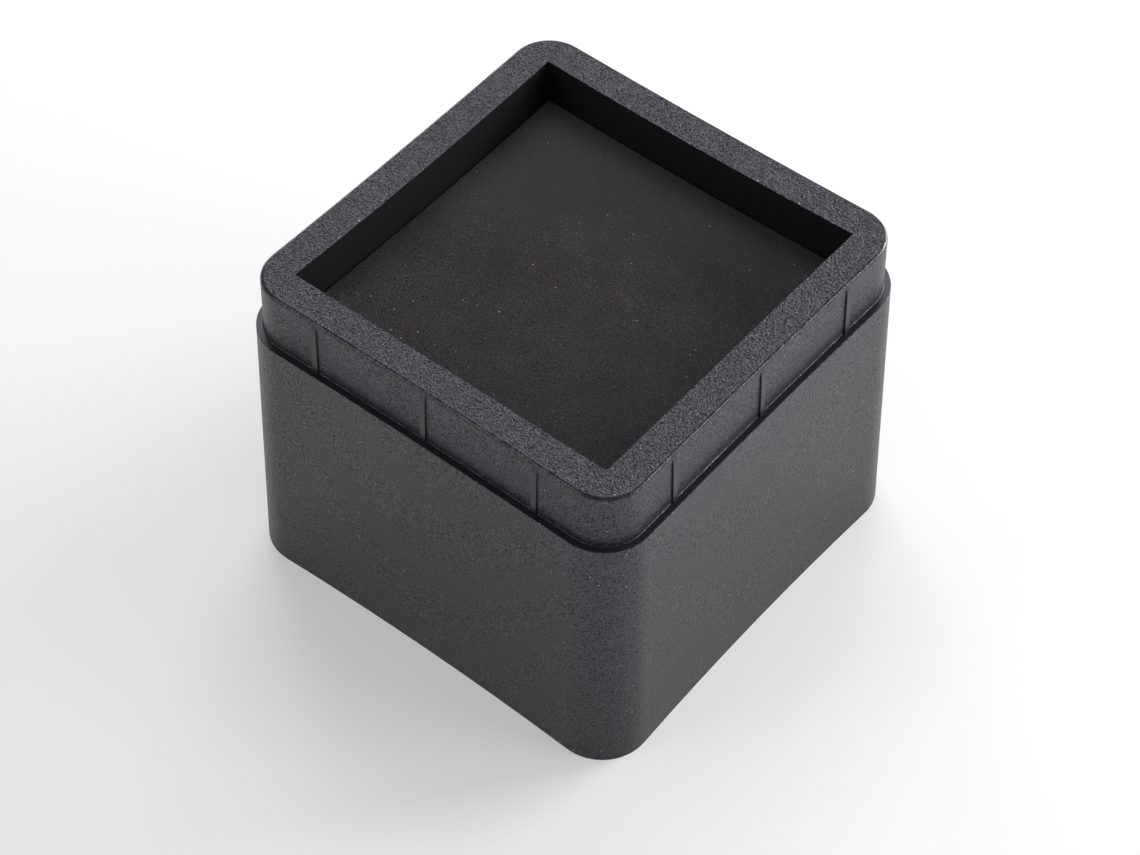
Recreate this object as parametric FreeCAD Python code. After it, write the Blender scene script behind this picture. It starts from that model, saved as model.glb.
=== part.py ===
import FreeCAD, Part
import math
import os

# A square bed riser: one moulded plastic shell with a stacking collar, and a foam pad in the recess
# on its top. Millimetres. The origin is the centre of the foot, +Z is up, and -Y and +X are the two
# sides that the photograph shows. Widths are taken across the flats, at the corners of each side.

# Foot and skirt
base_width = 106.0
total_height = 85.0
skirt_draft = 1.29
skirt_wall = 2.0
skirt_corner_radius = 11.4
foot_bow = 0.93

# Ledge that carries the riser above in a stack
ledge_width = 1.67
ledge_thickness = 2.2
ledge_bow = 0.33
shoulder_round = 0.15
shoulder_height = 1.0

# Stacking collar
collar_height = 14.74
collar_draft = 1.16
collar_wall = 2.2
collar_corner_radius = 9.5
collar_bow = 0.36
collar_root_fillet = 0.22
rim_width = 7.87
rim_thickness = 2.4
rim_round = 0.82

# Locating ribs on each side of the collar
locating_rib_count = 3
locating_rib_pitch = 29.5
locating_rib_width = 1.6
locating_rib_foot_proud = 0.5
locating_rib_top_proud = 0.38
locating_rib_lead_in_proud = 0.27
locating_rib_edge_round = 0.2
locating_rib_lead_in = 2.6
locating_rib_top_gap = 0.1

# Recess for the leg of the furniture, with a foam pad on its floor
pad_sink = 10.35
pad_thickness = 2.5
pad_clearance = 0.1
pad_corner_radius = 0.8
recess_draft = 4.49
recess_front_bow = 0.05
recess_back_bow = 0.62
recess_wall = 2.0
deck_thickness = 2.5

# Load-bearing grid under the deck
grid_rib_count = 2
grid_rib_pitch = 34.0
grid_rib_root_width = 2.4
grid_rib_tip_width = 1.9
stacking_clearance = 0.3

# Heights
ledge_height = total_height - collar_height
shoulder_foot = ledge_height - shoulder_height
core_step_height = ledge_height - ledge_thickness
rim_underside = total_height - rim_thickness
pad_top = total_height - pad_sink
recess_floor = pad_top - pad_thickness
deck_underside = recess_floor - deck_thickness
grid_rib_tip = collar_height + stacking_clearance
above_rim = total_height + 1.0

# How near two places are taken as one
same_place = 0.001

# Half widths that the draft angles are measured from
foot_half = base_width / 2
skirt_half_at_ledge = foot_half - ledge_height * math.tan(math.radians(skirt_draft))
collar_half_at_ledge = skirt_half_at_ledge - ledge_width
recess_half_at_rim = collar_half_at_ledge - collar_height * math.tan(math.radians(collar_draft)) - rim_width
recess_bows = [recess_front_bow, recess_front_bow, recess_back_bow, recess_back_bow]


def between(low, high, share):
    return low + (high - low) * share


def skirt_half(z):
    return between(foot_half, skirt_half_at_ledge, z / ledge_height)


def skirt_bow(z):
    return between(foot_bow, ledge_bow, z / ledge_height)


def shoulder_inset(z):
    return (z - shoulder_foot) * math.tan(math.radians(skirt_draft))


def collar_inset(z):
    return (z - ledge_height) * math.tan(math.radians(collar_draft))


def collar_half(z):
    return collar_half_at_ledge - collar_inset(z)


def collar_radius(z):
    return collar_corner_radius - collar_inset(z)


def recess_half(z):
    return recess_half_at_rim - (total_height - z) * math.tan(math.radians(recess_draft))


def side_lean(half, radius, bow):
    # Angle that a side's arc has turned through where it meets the corner arc
    return 2 * math.atan(bow / (half - radius))


def turned(x, y, z, quarter):
    # The point of the -Y side, taken round to side 0 (-Y), 1 (+X), 2 (+Y) or 3 (-X)
    angle = math.radians(90 * quarter)
    return FreeCAD.Vector(
        x * math.cos(angle) - y * math.sin(angle),
        x * math.sin(angle) + y * math.cos(angle),
        z,
    )


def bowed_square(half, radius, bows, z):
    # A square with round corners whose sides sink inward by their bow at the middle. Every arc is
    # tangent to the next one, and a radius of zero leaves the corners sharp.
    centre = half - radius
    edges = []
    leans = [side_lean(half, radius, bow) for bow in bows]
    for quarter in range(4):
        lean = leans[quarter]
        next_lean = leans[(quarter + 1) % 4]
        reach = centre - radius * math.sin(lean)
        depth = centre + radius * math.cos(lean)
        start = turned(-reach, -depth, z, quarter)
        middle = turned(0, bows[quarter] - half, z, quarter)
        end = turned(reach, -depth, z, quarter)
        edges.append(Part.Arc(start, middle, end).toShape())
        if radius > 0:
            next_reach = centre - radius * math.sin(next_lean)
            next_depth = centre + radius * math.cos(next_lean)
            corner_end = turned(-next_reach, -next_depth, z, quarter + 1)
            mid_angle = math.radians(-45) + (next_lean - lean) / 2
            corner_middle = turned(
                centre + radius * math.cos(mid_angle),
                -centre + radius * math.sin(mid_angle),
                z,
                quarter,
            )
            edges.append(Part.Arc(end, corner_middle, corner_end).toShape())
    return Part.Wire(edges)


def even_square(half, radius, bow, z):
    return bowed_square(half, radius, [bow] * 4, z)


def drafted_block(*outlines):
    return Part.makeLoft(list(outlines), True, True)


def edges_at_height(shape, z, outer_half=base_width):
    # Level edges at one height whose middle lies in a square round the axis
    found = []
    for edge in shape.Edges:
        box = edge.BoundBox
        level = abs(box.ZMin - z) < same_place and abs(box.ZMax - z) < same_place
        middle = edge.CenterOfMass
        if level and max(abs(middle.x), abs(middle.y)) < outer_half:
            found.append(edge)
    return found


def skirt_outline(z, wall=0.0):
    return even_square(skirt_half(z) - wall, skirt_corner_radius - wall, skirt_bow(z), z)


def shoulder_outline(z):
    # Concentric with the skirt's outline at the foot of the shoulder
    half = skirt_half(shoulder_foot) - shoulder_inset(z)
    radius = skirt_corner_radius - shoulder_inset(z)
    return even_square(half, radius, skirt_bow(shoulder_foot), z)


def collar_outline(z, wall=0.0):
    return even_square(collar_half(z) - wall, collar_radius(z) - wall, collar_bow, z)


def skirt_solid():
    skirt = drafted_block(skirt_outline(0), skirt_outline(shoulder_foot))
    shoulder = drafted_block(shoulder_outline(shoulder_foot), shoulder_outline(ledge_height))
    shoulder = shoulder.makeFillet(shoulder_round, edges_at_height(shoulder, ledge_height))
    return skirt.fuse(shoulder)


def collar_solid():
    block = drafted_block(collar_outline(ledge_height), collar_outline(total_height))
    return block.makeFillet(rim_round, edges_at_height(block, total_height))


def collar_face(position, z):
    # Distance from the axis to the bowed face of a collar side, at a place along the side
    half = collar_half(z)
    radius = collar_radius(z)
    lean = side_lean(half, radius, collar_bow)
    reach = half - radius - radius * math.sin(lean)
    arc_radius = reach / math.sin(lean)
    return half - collar_bow + arc_radius - math.sqrt(arc_radius ** 2 - position ** 2)


def locating_rib(position, quarter):
    # Its front leans in to the collar's face at the top, in two steps
    top = total_height - rim_round - locating_rib_top_gap
    lead_in_middle = top - locating_rib_lead_in / 2
    lead_in_foot = top - locating_rib_lead_in
    root_depth = collar_face(position, ledge_height) - collar_wall / 2
    profile = [
        (root_depth, ledge_height),
        (collar_face(position, ledge_height) + locating_rib_foot_proud, ledge_height),
        (collar_face(position, lead_in_foot) + locating_rib_top_proud, lead_in_foot),
        (collar_face(position, lead_in_middle) + locating_rib_lead_in_proud, lead_in_middle),
        (collar_face(position, top), top),
        (root_depth, top),
    ]
    left = position - locating_rib_width / 2
    points = [FreeCAD.Vector(left, -depth, z) for depth, z in profile]
    face = Part.Face(Part.makePolygon(points + points[:1]))
    rib = face.extrude(FreeCAD.Vector(locating_rib_width, 0, 0))
    front_edges = []
    for edge in rib.Edges:
        middle = edge.CenterOfMass
        upright = edge.BoundBox.XLength < same_place and edge.BoundBox.ZLength > locating_rib_lead_in / 4
        if upright and -middle.y > root_depth + collar_wall / 4:
            front_edges.append(edge)
    rib = rib.makeFillet(locating_rib_edge_round, front_edges)
    rib.rotate(FreeCAD.Vector(0, 0, 0), FreeCAD.Vector(0, 0, 1), 90 * quarter)
    return rib


def locating_ribs():
    first = -locating_rib_pitch * (locating_rib_count - 1) / 2
    places = [first + locating_rib_pitch * number for number in range(locating_rib_count)]
    return [locating_rib(place, quarter) for quarter in range(4) for place in places]


def recess_space():
    # The leg's recess, run out through the rim
    floor = bowed_square(recess_half(recess_floor), 0, recess_bows, recess_floor)
    mouth = bowed_square(recess_half(above_rim), 0, recess_bows, above_rim)
    return drafted_block(floor, mouth)


def recess_tub():
    # The walls and the deck round the recess, as one block
    outlines = []
    for z in (deck_underside, total_height):
        outlines.append(bowed_square(recess_half(z) + recess_wall, recess_wall, recess_bows, z))
    return drafted_block(*outlines)


def grid_ribs():
    # Upright walls crossing under the deck, thinner towards their free lower edge
    first = -grid_rib_pitch * (grid_rib_count - 1) / 2
    ribs = []
    for number in range(grid_rib_count):
        place = first + grid_rib_pitch * number
        profile = [
            (place - grid_rib_tip_width / 2, grid_rib_tip),
            (place + grid_rib_tip_width / 2, grid_rib_tip),
            (place + grid_rib_root_width / 2, total_height),
            (place - grid_rib_root_width / 2, total_height),
        ]
        points = [FreeCAD.Vector(x, -foot_half, z) for x, z in profile]
        face = Part.Face(Part.makePolygon(points + points[:1]))
        rib = face.extrude(FreeCAD.Vector(0, base_width, 0))
        crossing = rib.copy()
        crossing.rotate(FreeCAD.Vector(0, 0, 0), FreeCAD.Vector(0, 0, 1), 90)
        ribs += [rib, crossing]
    return ribs


def core_space():
    # The hollow under the riser: inside the skirt, up into the rim, and round the recess and the grid
    in_skirt = drafted_block(*[skirt_outline(z, skirt_wall) for z in (0, core_step_height)])
    in_collar = drafted_block(*[collar_outline(z, collar_wall) for z in (core_step_height, rim_underside)])
    return in_skirt.fuse(in_collar).cut([recess_tub()] + grid_ribs())


def riser_body():
    outside = skirt_solid().fuse(collar_solid()).removeSplitter()
    root_edges = edges_at_height(outside, ledge_height, collar_half_at_ledge + ledge_width / 4)
    outside = outside.makeFillet(collar_root_fillet, root_edges)
    outside = outside.fuse(locating_ribs())
    return outside.cut([core_space(), recess_space()])


def foam_pad():
    # The sheet fills the recess from wall to wall, so its cut sides lean as the walls do
    outlines = []
    for z in (recess_floor, pad_top):
        outlines.append(bowed_square(recess_half(z) - pad_clearance, pad_corner_radius, recess_bows, z))
    return drafted_block(*outlines)


os.makedirs("parts", exist_ok=True)
nodes = {"riser_body": riser_body(), "foam_pad": foam_pad()}
for name, shape in nodes.items():
    shape.exportStep("parts/" + name + ".step")
    box = shape.BoundBox
    print(name, len(shape.Solids), shape.isValid(), round(shape.Volume / 1000, 2), "cm3",
          round(box.XLength, 3), round(box.YLength, 3), round(box.ZLength, 3))
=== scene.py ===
import math

import bmesh
import bpy
from mathutils import Matrix, Vector, noise


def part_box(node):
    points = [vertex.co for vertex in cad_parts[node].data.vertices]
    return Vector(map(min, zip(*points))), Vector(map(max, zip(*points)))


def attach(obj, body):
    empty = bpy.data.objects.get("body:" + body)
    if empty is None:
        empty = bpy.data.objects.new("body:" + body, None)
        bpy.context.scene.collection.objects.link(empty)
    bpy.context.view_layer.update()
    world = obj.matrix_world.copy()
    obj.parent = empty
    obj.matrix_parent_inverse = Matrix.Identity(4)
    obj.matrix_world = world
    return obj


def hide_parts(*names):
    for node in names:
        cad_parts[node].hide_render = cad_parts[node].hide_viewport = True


# The looks of a moulded bed riser and its foam pad. Metres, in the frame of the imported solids:
# the origin is the centre of the foot, +Z is up, and -Y and +X are the sides the photograph shows.

MM = 0.001

# The photograph's frame and the camera that was fitted to it
PICTURE_WIDTH = 1140
PICTURE_HEIGHT = 855
CAMERA_AZIMUTH = 38.922
CAMERA_ELEVATION = 50.037
CAMERA_ROLL = 0.283
CAMERA_DISTANCE = 0.68164
CAMERA_LENS = 97.782
CAMERA_SENSOR = 36.0
OBJECT_CENTRE_PIXEL = (574.84, 386.54)

# Sizes that repeat the solids' own
TOTAL_HEIGHT = 85.0 * MM
RIM_ROUND = 0.82 * MM
LEDGE_HEIGHT = 70.26 * MM
OUTER_SKIN_REACH = 47.0 * MM
RECESS_REACH = 42.0 * MM
RECESS_FROM = 72.05 * MM
LOCATING_RIB_PITCH = 29.5 * MM
LOCATING_RIB_WIDTH = 1.6 * MM
LOCATING_RIB_TOP = 84.08 * MM
PAD_FRONT_BOW = 0.05 * MM
PAD_BACK_BOW = 0.62 * MM
PAD_FOOT_INSET = 0.2 * MM

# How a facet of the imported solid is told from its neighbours
SAME_PLACE = 0.01 * MM
LEVEL_ENOUGH = 0.999
SIDEWAYS_AT_MOST = 0.3

# The foam sheet's rounded edge and slight swell
PAD_GRID_STEPS = 120
PAD_GRID_CROWDING = 1.35
PAD_EDGE_ROUND = 0.2 * MM
PAD_SWELL = 0.06 * MM
PAD_SWELL_SPAN = 11 * MM
PAD_SWELL_START = 2 * MM
PAD_TOP_SINK = 0.03 * MM

# Colours as linear light
MOULDING_BLACK = (0.0135, 0.0122, 0.0145)
# The recess walls' black, darker than the moulding's: painted shade.
RECESS_SHADED_BLACK = (0.0095, 0.0094, 0.0095)
SHEEN_VIOLET = (0.92, 0.865, 1.0)
RIM_BLACK = (0.0210, 0.0190, 0.0275)
FOAM_DARK = (0.0120, 0.0110, 0.0121)
FOAM_LIGHT = (0.0620, 0.0575, 0.0630)
FOAM_BROWN = (0.0480, 0.0375, 0.0360)
FOAM_PIT = (0.0050, 0.0045, 0.0050)
FOAM_MARK = (0.0780, 0.0720, 0.0780)
LINT_GREY = (0.1800, 0.1700, 0.1800)
DUST_GREY = (0.42, 0.40, 0.41)
PALE_FLOOR = (0.92, 0.92, 0.92)

# Grain and specks: how dark the grain's hollows and how light its peaks are painted, as painted shade and
# painted highlight on the real grain, and how soft a speck's edge is
GRAIN_HOLLOW_SHADE = 0.2
GRAIN_PEAK_HIGHLIGHT = 1.8
SIDE_LINT_LIFT = 1.7
SPECK_CORE = 0.6
CHOICE_STEP = 0.01

# The floor, whose white glow grows with the distance from the object
FLOOR_REACH = 6.0
FLOOR_DROP = 0.02 * MM
FLOOR_GLOW_SHARE = 0.3
FLOOR_GLOW_NEAR = 0.12
FLOOR_GLOW_FAR = 0.6

# The sky: its level overhead and at the horizon, and how high the brighter band reaches
WORLD_LEVEL = 0.36
HORIZON_LEVEL = 0.9
HORIZON_RISE = 0.3

# Each lamp's name, azimuth from +X towards +Y and elevation in degrees, side in metres and watts
LAMP_DISTANCE = 1.3
SOFTBOXES = (
    ("softbox_back_high", 128, 54, 0.7, 5.6),
    ("softbox_back_right_low", 66, 11, 0.75, 25.0),
    ("softbox_right", 25, 17, 0.6, 5.6),
    ("softbox_front_left", 240, 28, 0.5, 2.3),
    ("softbox_back_left_low", 150, 9, 0.42, 3.8),
)

# Dirt and wear that the photograph shows, in millimetres
SPECK_RADIUS = 0.22 * MM
RIM_SPECKS = ((46.6, -45.3, 85.0), (16.5, 41.5, 85.0), (-41.6, -21.4, 85.0), (27.5, 41.6, 85.0))
SIDE_SPECKS = (
    (51.4, 30.4, 69.3),
    (51.6, 39.2, 57.9),
    (51.5, 22.7, 62.0),
    (51.6, 25.4, 55.7),
    (52.4, 35.0, 20.5),
    (51.4, -32.0, 69.9),
    (51.9, -12.6, 38.9),
    (51.9, -12.9, 38.4),
    (52.0, -14.6, 35.7),
    (52.0, -14.9, 35.4),
    (36.5, -52.7, 0.4),
    (39.0, -52.9, 0.4),
)
PAD_MARK = (-35.0, -32.5, 74.7)
PAD_MARK_RADIUS = 2.0 * MM


class Shader:
    """A material's nodes, built one call at a time."""

    def __init__(self, name):
        self.material = bpy.data.materials.new(name)
        self.material.use_nodes = True
        self.nodes = self.material.node_tree.nodes
        self.links = self.material.node_tree.links
        self.surface = self.nodes["Principled BSDF"]
        self.surface.inputs["Specular Tint"].default_value = (*SHEEN_VIOLET, 1.0)
        self.place = self.nodes.new("ShaderNodeTexCoord").outputs["Object"]

    def link(self, source, target):
        self.links.new(source, target)

    def noise(self, size, detail=2.0, roughness=0.5):
        node = self.nodes.new("ShaderNodeTexNoise")
        node.inputs["Scale"].default_value = 1.0 / size
        node.inputs["Detail"].default_value = detail
        node.inputs["Roughness"].default_value = roughness
        self.link(self.place, node.inputs["Vector"])
        return node.outputs["Fac"]

    def cells(self, size, output="Distance"):
        node = self.nodes.new("ShaderNodeTexVoronoi")
        node.inputs["Scale"].default_value = 1.0 / size
        self.link(self.place, node.inputs["Vector"])
        return node.outputs[output]

    def ramp(self, value, low, high, low_value=0.0, high_value=1.0):
        node = self.nodes.new("ShaderNodeMapRange")
        node.inputs["From Min"].default_value = low
        node.inputs["From Max"].default_value = high
        node.inputs["To Min"].default_value = low_value
        node.inputs["To Max"].default_value = high_value
        self.link(value, node.inputs["Value"])
        return node.outputs["Result"]

    def math(self, operation, first, second=0.0):
        node = self.nodes.new("ShaderNodeMath")
        node.operation = operation
        for socket, value in zip(node.inputs, (first, second)):
            if isinstance(value, (int, float)):
                socket.default_value = value
            else:
                self.link(value, socket)
        return node.outputs["Value"]

    def mix(self, share, first, second):
        node = self.nodes.new("ShaderNodeMix")
        node.data_type = "RGBA"
        self.link(share, node.inputs["Factor"])
        for socket, value in ((node.inputs["A"], first), (node.inputs["B"], second)):
            if isinstance(value, tuple):
                socket.default_value = (*value, 1.0)
            else:
                self.link(value, socket)
        return node.outputs["Result"]

    def dust(self, spacing, size, share):
        """A mask of small specks: one at most in each cell, and only in a share of the cells."""
        distance = self.cells(spacing)
        speck = self.ramp(distance, size / spacing, SPECK_CORE * size / spacing)
        colour = self.cells(spacing, "Color")
        split = self.nodes.new("ShaderNodeSeparateColor")
        self.link(colour, split.inputs["Color"])
        chosen = self.ramp(split.outputs["Red"], 1.0 - share, 1.0 - share + CHOICE_STEP)
        return self.math("MULTIPLY", speck, chosen)

    def distance(self, spot):
        node = self.nodes.new("ShaderNodeVectorMath")
        node.operation = "DISTANCE"
        self.link(self.place, node.inputs[0])
        node.inputs[1].default_value = [MM * value for value in spot]
        return node.outputs["Value"]

    def specks(self, spots):
        """A mask of single specks, each at its own place."""
        masks = [self.ramp(self.distance(spot), SPECK_RADIUS, SPECK_CORE * SPECK_RADIUS) for spot in spots]
        total = masks[0]
        for mask in masks[1:]:
            total = self.math("MAXIMUM", total, mask)
        return total

    def ring(self, spot, radius):
        """A faint, broken ring."""
        off = self.math("ABSOLUTE", self.math("SUBTRACT", self.distance(spot), radius))
        line = self.ramp(off, low=0.4 * MM, high=0.1 * MM, high_value=0.7)
        kept = self.ramp(self.noise(1.1 * MM), low=0.42, high=0.56)
        return self.math("MULTIPLY", line, kept)

    def height(self):
        """Metres above the floor."""
        node = self.nodes.new("ShaderNodeSeparateXYZ")
        self.link(self.place, node.inputs["Vector"])
        return node.outputs["Z"]

    def across(self, x_share, y_share):
        """Metres from the axis towards one corner."""
        node = self.nodes.new("ShaderNodeVectorMath")
        node.operation = "DOT_PRODUCT"
        self.link(self.place, node.inputs[0])
        node.inputs[1].default_value = Vector((x_share, y_share, 0.0)).normalized()
        return node.outputs["Value"]

    def sheen(self, level):
        self.link(level, self.surface.inputs["Specular IOR Level"])

    def bump(self, height, depth):
        node = self.nodes.new("ShaderNodeBump")
        node.inputs["Distance"].default_value = depth
        self.link(height, node.inputs["Height"])
        self.link(node.outputs["Normal"], self.surface.inputs["Normal"])

    def finish(self, colour, roughness):
        if isinstance(colour, tuple):
            self.surface.inputs["Base Color"].default_value = (*colour, 1.0)
        else:
            self.link(colour, self.surface.inputs["Base Color"])
        if isinstance(roughness, float):
            self.surface.inputs["Roughness"].default_value = roughness
        else:
            self.link(roughness, self.surface.inputs["Roughness"])
        return self.material


def scaled(colour, factor):
    return tuple(factor * value for value in colour)


def grain_with_painted_shade(shader, grain, colour):
    """The colour, darker in the grain's hollows and lighter on its peaks: painted shade and painted
    highlight on the real grain.
    """
    return shader.mix(grain, scaled(colour, GRAIN_HOLLOW_SHADE), scaled(colour, GRAIN_PEAK_HIGHLIGHT))


def dusty(shader, colour, spacing, size, share):
    return shader.mix(shader.dust(spacing, size, share), colour, DUST_GREY)


def rim_material():
    """Coarse spark-eroded grain."""
    shader = Shader("rim_coarse_grain")
    grain = shader.ramp(shader.noise(0.42 * MM, detail=1.0), low=0.25, high=0.75)
    shader.bump(grain, depth=0.4 * MM)
    # Painted sheen: the grain's peaks shine more and its hollows less.
    shader.sheen(shader.ramp(grain, 0.0, 1.0, low_value=0.12, high_value=0.75))
    specked = shader.mix(shader.specks(RIM_SPECKS), grain_with_painted_shade(shader, grain, RIM_BLACK), DUST_GREY)
    dusted = dusty(shader, specked, spacing=2.2 * MM, size=0.22 * MM, share=0.03)
    return shader.finish(dusted, roughness=0.42)


def side_material():
    """Fine spark-eroded grain on the collar and the skirt, its contrast weaker towards the foot, and
    painted shade: less sheen towards the foot.
    """
    shader = Shader("side_fine_grain")
    height = shader.height()
    grain = shader.ramp(shader.noise(0.38 * MM, detail=1.0), low=0.3, high=0.7)
    shader.bump(grain, depth=0.06 * MM)
    relief = shader.ramp(height, 0.0, TOTAL_HEIGHT, low_value=0.35, high_value=1.0)
    # Painted sheen on the grain: more on its peaks and less in its hollows, with a smaller swing towards
    # the foot.
    swing = shader.math("MULTIPLY", shader.math("SUBTRACT", grain, 0.5), relief)
    # Painted shade: the sheen's level falls towards the foot, darkening the lower sides.
    level = shader.ramp(height, 0.0, TOTAL_HEIGHT, low_value=0.38, high_value=0.62)
    shader.sheen(shader.math("ADD", level, swing))
    specked = shader.mix(shader.specks(SIDE_SPECKS), grain_with_painted_shade(shader, grain, MOULDING_BLACK), DUST_GREY)
    lint = shader.dust(spacing=1.8 * MM, size=0.2 * MM, share=0.22)
    linted = shader.mix(lint, specked, scaled(LINT_GREY, SIDE_LINT_LIFT))
    dusted = dusty(shader, linted, spacing=2.6 * MM, size=0.17 * MM, share=0.05)
    return shader.finish(dusted, roughness=0.4)


def edge_material():
    """The rim's rounding, which the tool leaves smoother than the faces beside it."""
    shader = Shader("rim_edge_smooth")
    grain = shader.ramp(shader.noise(0.5 * MM, detail=1.0), low=0.35, high=0.65)
    shader.bump(grain, depth=0.03 * MM)
    # Painted sheen: the grain's peaks shine more and its hollows less.
    shader.sheen(shader.ramp(grain, 0.0, 1.0, low_value=0.25, high_value=0.75))
    return shader.finish(MOULDING_BLACK, roughness=0.26)


def plain_material(name, size, detail, depth, roughness):
    """A smooth moulded face, uneven only by a shallow relief."""
    shader = Shader(name)
    shader.bump(shader.noise(size, detail=detail), depth=depth)
    return shader.finish(MOULDING_BLACK, roughness=roughness)


def recess_material():
    """The recess walls, left smooth by the core, with a neutral and weaker sheen, and a darker black that
    is painted shade.
    """
    shader = Shader("recess_smooth")
    shader.bump(shader.noise(6.0 * MM), depth=0.01 * MM)
    shader.surface.inputs["Specular IOR Level"].default_value = 0.3
    shader.surface.inputs["Specular Tint"].default_value = (1.0, 1.0, 1.0, 1.0)
    dusted = dusty(shader, RECESS_SHADED_BLACK, spacing=4.0 * MM, size=0.16 * MM, share=0.05)
    return shader.finish(dusted, roughness=0.3)


def foam_material():
    """Closed-cell foam sheet, slightly brown, with pores, painted light towards the back-left and painted
    shade towards the front corner.
    """
    shader = Shader("foam_sheet")
    mottle = shader.ramp(shader.noise(0.45 * MM, roughness=0.6), low=0.3, high=0.7)
    mottled = shader.mix(mottle, FOAM_DARK, FOAM_LIGHT)
    brown = shader.ramp(shader.noise(0.7 * MM), low=0.45, high=0.7, high_value=0.6)
    browned = shader.mix(brown, mottled, FOAM_BROWN)
    cloud_noise = shader.noise(12.0 * MM, detail=3.0, roughness=0.6)
    clouds = shader.ramp(cloud_noise, low=0.35, high=0.65, high_value=0.35)
    cloudy = shader.mix(clouds, browned, FOAM_DARK)
    pits = shader.dust(spacing=0.8 * MM, size=0.22 * MM, share=0.3)
    pitted = shader.mix(pits, cloudy, FOAM_PIT)
    # Painted light: the sheet is lighter towards its back-left.
    back = shader.ramp(shader.across(-0.5, 1.0), low=5.0 * MM, high=45.0 * MM, high_value=0.9)
    painted_back_light = shader.mix(back, pitted, FOAM_LIGHT)
    # Painted shade: the sheet is darker towards its front corner.
    front = shader.ramp(shader.across(1.0, -1.0), low=0.0, high=55.0 * MM, high_value=0.3)
    painted_front_shade = shader.mix(front, painted_back_light, FOAM_DARK)
    marked = shader.mix(shader.ring(PAD_MARK, PAD_MARK_RADIUS), painted_front_shade, FOAM_MARK)
    lint = shader.dust(spacing=0.7 * MM, size=0.13 * MM, share=0.1)
    linted = shader.mix(lint, marked, LINT_GREY)
    shader.bump(mottle, depth=0.08 * MM)
    shader.surface.inputs["Specular IOR Level"].default_value = 0.15
    dusted = dusty(shader, linted, spacing=1.6 * MM, size=0.16 * MM, share=0.12)
    return shader.finish(dusted, roughness=0.7)


def finish_of(polygon):
    """Which of the moulding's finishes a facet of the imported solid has."""
    centre = polygon.center
    normal = polygon.normal
    if normal.z > LEVEL_ENOUGH and centre.z > TOTAL_HEIGHT - SAME_PLACE:
        return "rim"
    level = Vector((normal.x, normal.y))
    reach = max(abs(centre.x), abs(centre.y))
    if centre.z > RECESS_FROM and reach < RECESS_REACH:
        return "recess"
    if level.length < SIDEWAYS_AT_MOST:
        outside = normal.z > 0 and reach > OUTER_SKIN_REACH
        if outside and centre.z < LEDGE_HEIGHT + MM:
            return "ledge"
        if outside and centre.z > TOTAL_HEIGHT - RIM_ROUND:
            return "edge"
        return "side" if outside else "core"
    outward = (centre.x * level.x + centre.y * level.y) / level.length
    if outward > OUTER_SKIN_REACH:
        along = centre.x if abs(centre.x) < abs(centre.y) else centre.y
        beside_rib = min(abs(along - LOCATING_RIB_PITCH * n) for n in (-1, 0, 1))
        on_rib = beside_rib < LOCATING_RIB_WIDTH / 2 + SAME_PLACE
        if on_rib and LEDGE_HEIGHT < centre.z < LOCATING_RIB_TOP:
            return "rib"
        return "edge" if centre.z > TOTAL_HEIGHT - RIM_ROUND else "side"
    return "core"


def dress_moulding(body):
    finishes = {
        "side": side_material(),
        "rim": rim_material(),
        "edge": edge_material(),
        "rib": plain_material("rib_plain", 1.2 * MM, detail=2.0, depth=0.004 * MM, roughness=0.36),
        "recess": recess_material(),
        "ledge": plain_material("ledge_smooth", 3.0 * MM, detail=2.0, depth=0.008 * MM, roughness=0.34),
        "core": plain_material("core_smooth", 5.0 * MM, detail=3.0, depth=0.03 * MM, roughness=0.34),
    }
    names = list(finishes)
    body.data.materials.clear()
    for material in finishes.values():
        body.data.materials.append(material)
    for polygon in body.data.polygons:
        polygon.material_index = names.index(finish_of(polygon))


def spread(share):
    """Grid places from -1 to 1, closer together towards the cut edges."""
    t = 2.0 * share - 1.0
    return math.copysign(1.0 - (1.0 - abs(t)) ** PAD_GRID_CROWDING, t)


def pad_place(u, v, half):
    bow_x = PAD_FRONT_BOW if u > 0 else PAD_BACK_BOW
    bow_y = PAD_BACK_BOW if v > 0 else PAD_FRONT_BOW
    return u * (half - bow_x * (1.0 - v * v)), v * (half - bow_y * (1.0 - u * u))


def edge_drop(inset):
    if inset >= PAD_EDGE_ROUND:
        return 0.0
    return PAD_EDGE_ROUND - math.sqrt(max(0.0, PAD_EDGE_ROUND ** 2 - (PAD_EDGE_ROUND - inset) ** 2))


def pad_point(u, v, half, top):
    """A point of the sheet's upper face, from its grid place."""
    x, y = pad_place(u, v, half)
    inset = half * (1.0 - max(abs(u), abs(v)))
    swell = PAD_SWELL * noise.noise(Vector((x, y, 0.0)) / PAD_SWELL_SPAN)
    rise = swell * min(1.0, inset / PAD_SWELL_START)
    return x, y, top - edge_drop(inset) + rise - PAD_TOP_SINK


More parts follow.
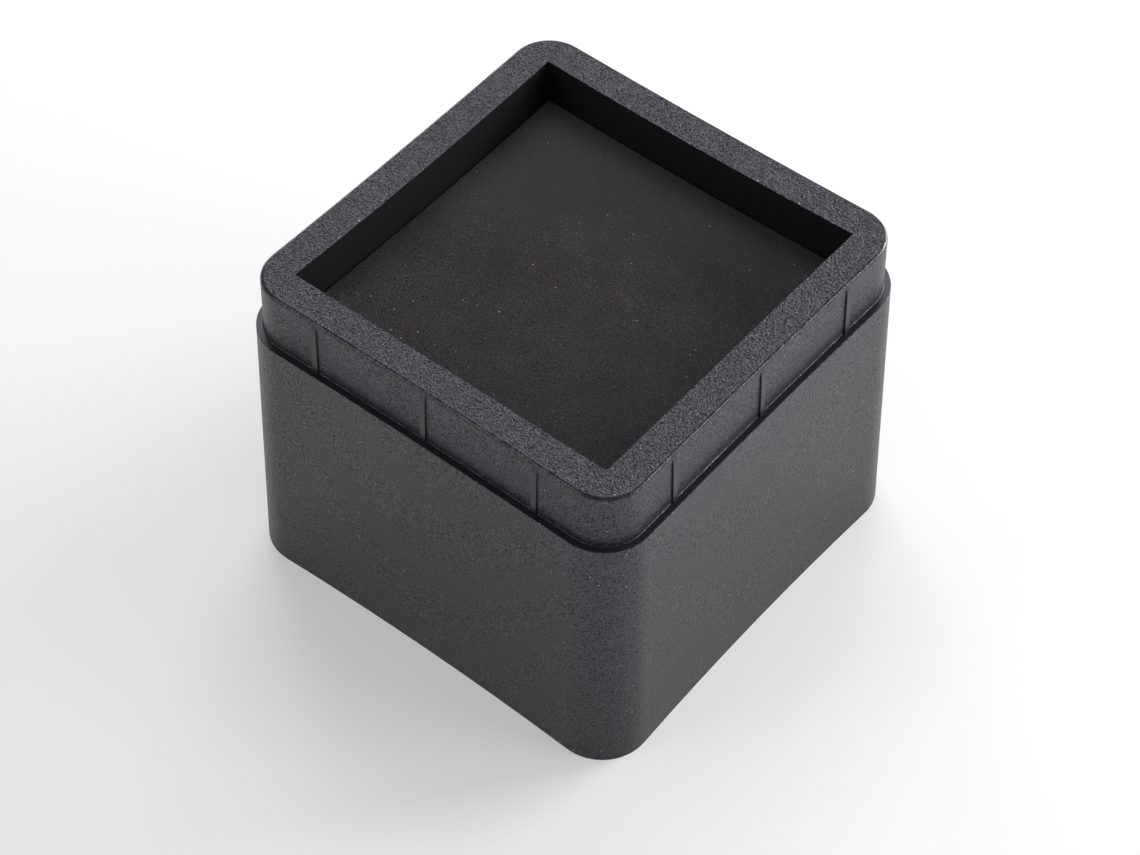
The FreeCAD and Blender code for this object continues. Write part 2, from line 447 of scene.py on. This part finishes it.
def make_pad():
    """The die-cut foam sheet: flat on the floor of the recess, softly rounded along its cut edges."""
    low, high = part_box("foam_pad")
    half = high.x
    places = [spread(number / PAD_GRID_STEPS) for number in range(PAD_GRID_STEPS + 1)]
    builder = bmesh.new()
    rows = [[builder.verts.new(pad_point(u, v, half, high.z)) for u in places] for v in places]
    for j in range(PAD_GRID_STEPS):
        for i in range(PAD_GRID_STEPS):
            builder.faces.new((rows[j][i], rows[j][i + 1], rows[j + 1][i + 1], rows[j + 1][i]))
    border = [edge for edge in builder.edges if edge.is_boundary]
    walls = bmesh.ops.extrude_edge_only(builder, edges=border)
    foot = [item for item in walls["geom"] if isinstance(item, bmesh.types.BMVert)]
    lean = 1.0 - PAD_FOOT_INSET / half
    for vertex in foot:
        vertex.co = (vertex.co.x * lean, vertex.co.y * lean, low.z)
    foot_edges = [edge for edge in builder.edges if edge.is_boundary]
    bmesh.ops.holes_fill(builder, edges=foot_edges, sides=0)
    bmesh.ops.recalc_face_normals(builder, faces=builder.faces)
    mesh = bpy.data.meshes.new("foam_sheet")
    builder.to_mesh(mesh)
    builder.free()
    for polygon in mesh.polygons:
        polygon.use_smooth = True
    pad = bpy.data.objects.new("foam_sheet", mesh)
    bpy.context.scene.collection.objects.link(pad)
    pad.data.materials.append(foam_material())
    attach(pad, "root")
    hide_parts("foam_pad")


def place_camera():
    azimuth = math.radians(CAMERA_AZIMUTH)
    elevation = math.radians(CAMERA_ELEVATION)
    roll = math.radians(CAMERA_ROLL)
    back = Vector((
        math.sin(azimuth) * math.cos(elevation),
        -math.cos(azimuth) * math.cos(elevation),
        math.sin(elevation),
    ))
    level_right = (-back).cross(Vector((0, 0, 1))).normalized()
    level_up = level_right.cross(-back)
    right = level_right * math.cos(roll) + level_up * math.sin(roll)
    up = level_up * math.cos(roll) - level_right * math.sin(roll)
    pixels = CAMERA_LENS / CAMERA_SENSOR * PICTURE_WIDTH
    across = (OBJECT_CENTRE_PIXEL[0] - PICTURE_WIDTH / 2) * CAMERA_DISTANCE / pixels
    down = (OBJECT_CENTRE_PIXEL[1] - PICTURE_HEIGHT / 2) * CAMERA_DISTANCE / pixels
    centre = Vector((0, 0, TOTAL_HEIGHT / 2))
    spot = centre + back * CAMERA_DISTANCE - right * across + up * down
    data = bpy.data.cameras.new("camera")
    data.lens = CAMERA_LENS
    data.sensor_width = CAMERA_SENSOR
    data.clip_start = 0.01
    data.clip_end = 50.0
    camera = bpy.data.objects.new("camera", data)
    turn = Matrix((right, up, back)).transposed().to_4x4()
    camera.matrix_world = Matrix.Translation(spot) @ turn
    bpy.context.scene.collection.objects.link(camera)
    bpy.context.scene.camera = camera


def seen_or_mirrored(tree):
    """1 for rays from the camera, from a glossy surface or through a clear one."""
    path = tree.nodes.new("ShaderNodeLightPath")
    total = path.outputs["Is Camera Ray"]
    for name in ("Is Glossy Ray", "Is Transmission Ray"):
        node = tree.nodes.new("ShaderNodeMath")
        node.operation = "MAXIMUM"
        tree.links.new(total, node.inputs[0])
        tree.links.new(path.outputs[name], node.inputs[1])
        total = node.outputs["Value"]
    return total


def eased(tree, value, low, high, low_value, high_value):
    """A smooth step from one value to another."""
    node = tree.nodes.new("ShaderNodeMapRange")
    node.interpolation_type = "SMOOTHSTEP"
    settings = {"From Min": low, "From Max": high, "To Min": low_value, "To Max": high_value}
    for name, number in settings.items():
        node.inputs[name].default_value = number
    tree.links.new(value, node.inputs["Value"])
    return node.outputs["Result"]


def make_floor():
    """A pale floor that keeps the shadow near the object and is plain white further out."""
    mesh = bpy.data.meshes.new("floor")
    sides = ((-1, -1), (1, -1), (1, 1), (-1, 1))
    corners = [(x * FLOOR_REACH, y * FLOOR_REACH, -FLOOR_DROP) for x, y in sides]
    mesh.from_pydata(corners, [], [(0, 1, 2, 3)])
    floor = bpy.data.objects.new("floor", mesh)
    bpy.context.scene.collection.objects.link(floor)
    material = bpy.data.materials.new("pale_floor")
    material.use_nodes = True
    tree = material.node_tree
    surface = tree.nodes["Principled BSDF"]
    surface.inputs["Base Color"].default_value = (*PALE_FLOOR, 1.0)
    surface.inputs["Roughness"].default_value = 0.9
    surface.inputs["Specular IOR Level"].default_value = 0.0
    white = tree.nodes.new("ShaderNodeEmission")
    white.inputs["Strength"].default_value = 1.0
    blend = tree.nodes.new("ShaderNodeMixShader")
    share = tree.nodes.new("ShaderNodeMath")
    share.operation = "MULTIPLY"
    place = tree.nodes.new("ShaderNodeTexCoord").outputs["Object"]
    reach = tree.nodes.new("ShaderNodeVectorMath")
    reach.operation = "LENGTH"
    tree.links.new(place, reach.inputs[0])
    glow = eased(tree, reach.outputs["Value"], FLOOR_GLOW_NEAR, FLOOR_GLOW_FAR, FLOOR_GLOW_SHARE, 1.0)
    tree.links.new(seen_or_mirrored(tree), share.inputs[0])
    tree.links.new(glow, share.inputs[1])
    tree.links.new(share.outputs["Value"], blend.inputs["Fac"])
    tree.links.new(surface.outputs["BSDF"], blend.inputs[1])
    tree.links.new(white.outputs["Emission"], blend.inputs[2])
    tree.links.new(blend.outputs["Shader"], tree.nodes["Material Output"].inputs["Surface"])
    floor.data.materials.append(material)


def make_world():
    """An even sky that brightens towards the horizon, where a white table and backdrop would be."""
    world = bpy.data.worlds.new("studio")
    world.use_nodes = True
    bpy.context.scene.world = world
    tree = world.node_tree
    direction = tree.nodes.new("ShaderNodeTexCoord").outputs["Generated"]
    split = tree.nodes.new("ShaderNodeSeparateXYZ")
    tree.links.new(direction, split.inputs["Vector"])
    light = tree.nodes["Background"]
    light.inputs["Color"].default_value = (1, 1, 1, 1)
    level = eased(tree, split.outputs["Z"], 0.0, HORIZON_RISE, HORIZON_LEVEL, WORLD_LEVEL)
    tree.links.new(level, light.inputs["Strength"])


def softbox(name, azimuth, elevation, size, power):
    """A square lamp aimed at the middle of the object."""
    turn = math.radians(azimuth)
    rise = math.radians(elevation)
    away = Vector((math.cos(turn) * math.cos(rise), math.sin(turn) * math.cos(rise), math.sin(rise)))
    data = bpy.data.lights.new(name, "AREA")
    data.shape = "SQUARE"
    data.size = size
    data.energy = power
    lamp = bpy.data.objects.new(name, data)
    lamp.location = Vector((0, 0, TOTAL_HEIGHT / 2)) + LAMP_DISTANCE * away
    lamp.rotation_mode = "QUATERNION"
    lamp.rotation_quaternion = away.to_track_quat("Z", "Y")
    bpy.context.scene.collection.objects.link(lamp)


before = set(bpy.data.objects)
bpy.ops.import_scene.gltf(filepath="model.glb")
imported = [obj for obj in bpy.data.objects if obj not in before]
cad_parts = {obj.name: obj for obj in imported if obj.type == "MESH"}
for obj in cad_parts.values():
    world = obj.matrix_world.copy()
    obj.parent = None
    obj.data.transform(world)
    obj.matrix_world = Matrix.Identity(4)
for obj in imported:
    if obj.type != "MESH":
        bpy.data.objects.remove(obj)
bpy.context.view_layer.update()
dress_moulding(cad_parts["riser_body"])
make_pad()
make_floor()
make_world()
for lamp in SOFTBOXES:
    softbox(*lamp)
place_camera()
bpy.context.scene.view_settings.view_transform = "Standard"
